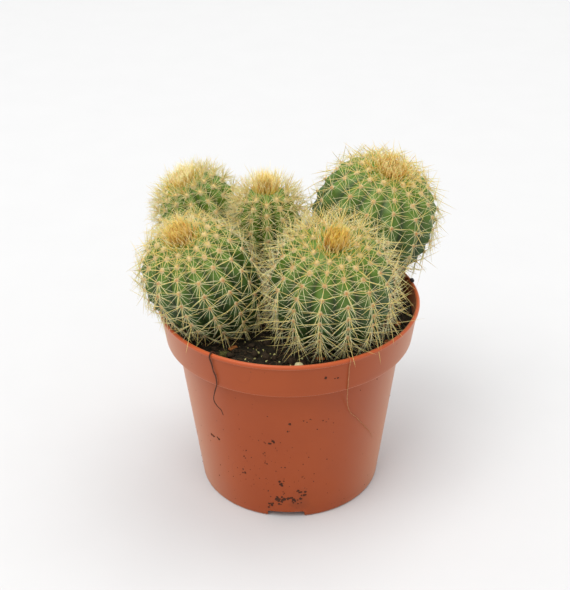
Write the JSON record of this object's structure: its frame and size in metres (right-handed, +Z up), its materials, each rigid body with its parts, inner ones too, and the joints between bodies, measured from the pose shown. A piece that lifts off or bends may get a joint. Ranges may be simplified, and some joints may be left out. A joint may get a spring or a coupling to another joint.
{
  "type": "potted round cactus",
  "caption": "Cluster of round ribbed cacti with golden crown tufts, rooted in soil in a tapered plastic nursery pot with a collared rim.",
  "frame": {"origin": "under the middle of the bounding box, on the plane that the pot's foot stands on; the pot's own axis is 2.5 mm towards -X from it", "axes": "+Z up along the pot's axis; -Y is the front, the side whose cactus leans out over the rim; +X is the object's right seen from the front"},
  "size_m": [0.1348, 0.12, 0.154],
  "materials": {
    "pot_plastic": "satin moulded terracotta plastic",
    "peat": "dark crumbly peat soil",
    "cactus_green": "waxy green cactus skin with woolly spine cushions",
    "crown_bristle": "golden bristles, dry and fine",
    "grit": "pale mineral grains",
    "bark": "raw orange-brown bark flakes",
    "pebble": "smooth cream pebble",
    "moss": "dry yellow-green moss",
    "crumb": "dry dark peat crumb",
    "root_dark": "dried dark rootlet",
    "root_tan": "dried tan rootlet"
  },
  "bodies": {
    "root": {"pot": "pot_plastic", "soil": "peat", "cactus_front_right": "cactus_green", "crown_tuft_front_right": "crown_bristle", "cactus_front_left": "cactus_green", "crown_tuft_front_left": "crown_bristle", "cactus_back_right": "cactus_green", "crown_tuft_back_right": "crown_bristle", "cactus_back_centre": "cactus_green", "crown_tuft_back_centre": "crown_bristle", "cactus_back_left": "cactus_green", "crown_tuft_back_left": "crown_bristle", "grit_01": "grit", "grit_02": "grit", "grit_03": "grit", "grit_04": "grit", "grit_05": "grit", "grit_06": "grit", "grit_07": "grit", "grit_08": "grit", "grit_09": "grit", "bark_chip_01": "bark", "bark_chip_02": "bark", "bark_chip_03": "bark", "bark_chip_04": "bark", "pebble": "pebble", "moss_tuft": "moss", "rim_crumb": "crumb", "root_strand_left": "root_dark", "root_strand_right": "root_tan"}
  },
  "joints": []
}
